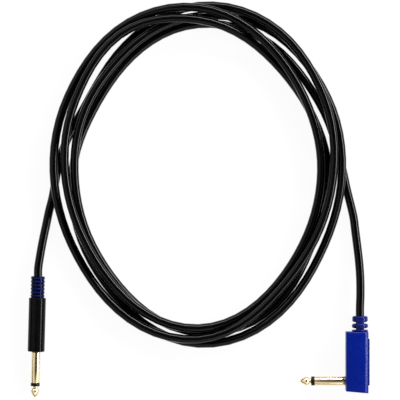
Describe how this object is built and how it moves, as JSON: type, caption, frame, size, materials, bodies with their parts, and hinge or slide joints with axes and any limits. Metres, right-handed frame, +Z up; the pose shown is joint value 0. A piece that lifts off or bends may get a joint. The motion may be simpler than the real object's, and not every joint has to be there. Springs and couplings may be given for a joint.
{
  "type": "instrument cable",
  "caption": "Coiled black instrument cable with a straight jack plug in a black barrel and blue boot, and a right-angle jack plug in a blue housing.",
  "frame": {"origin": "on the surface that the cable lies on, under the middle of the box round the two plugs", "axes": "+Z up from the surface, +X from the straight plug to the right-angle plug, +Y from the plugs towards the coil"},
  "size_m": [0.2391, 0.2766, 0.018],
  "materials": {
    "gold_plate": "polished",
    "steel": "satin",
    "tinned_brass": "satin",
    "solder": "satin",
    "copper": "satin",
    "black_insulator": "satin",
    "white_insulation": "satin",
    "black_barrel": "satin",
    "blue_boot": "satin",
    "blue_housing": "satin",
    "cable_jacket": "gloss"
  },
  "bodies": {
    "root": {"straight_tip": "gold_plate", "straight_tip_ring": "black_insulator", "straight_sleeve": "gold_plate", "straight_core_insulator": "black_insulator", "straight_tip_rod": "steel", "straight_rear_washer": "black_insulator", "straight_tip_lug": "tinned_brass", "straight_ground_lug": "tinned_brass", "straight_inner_mould": "white_insulation", "straight_barrel": "black_barrel", "straight_boot": "blue_boot", "straight_jacket_end": "cable_jacket", "straight_shield": "copper", "straight_core_sheath": "white_insulation", "straight_core_wire": "copper", "straight_core_solder": "solder", "straight_ground_solder": "solder", "angle_tip": "gold_plate", "angle_tip_ring": "black_insulator", "angle_sleeve": "gold_plate", "angle_core_insulator": "black_insulator", "angle_tip_rod": "steel", "angle_rear_washer": "black_insulator", "angle_tip_lug": "tinned_brass", "angle_ground_lug": "tinned_brass", "angle_housing": "blue_housing", "angle_side_plate": "black_barrel", "angle_boot": "blue_housing", "angle_jacket_end": "cable_jacket", "angle_shield": "copper", "angle_core_sheath": "white_insulation", "angle_core_wire": "copper", "angle_core_solder": "solder", "angle_ground_solder": "solder", "cable_lead_straight": "cable_jacket", "cable_coil": "cable_jacket", "cable_lead_angle": "cable_jacket"}
  },
  "joints": []
}
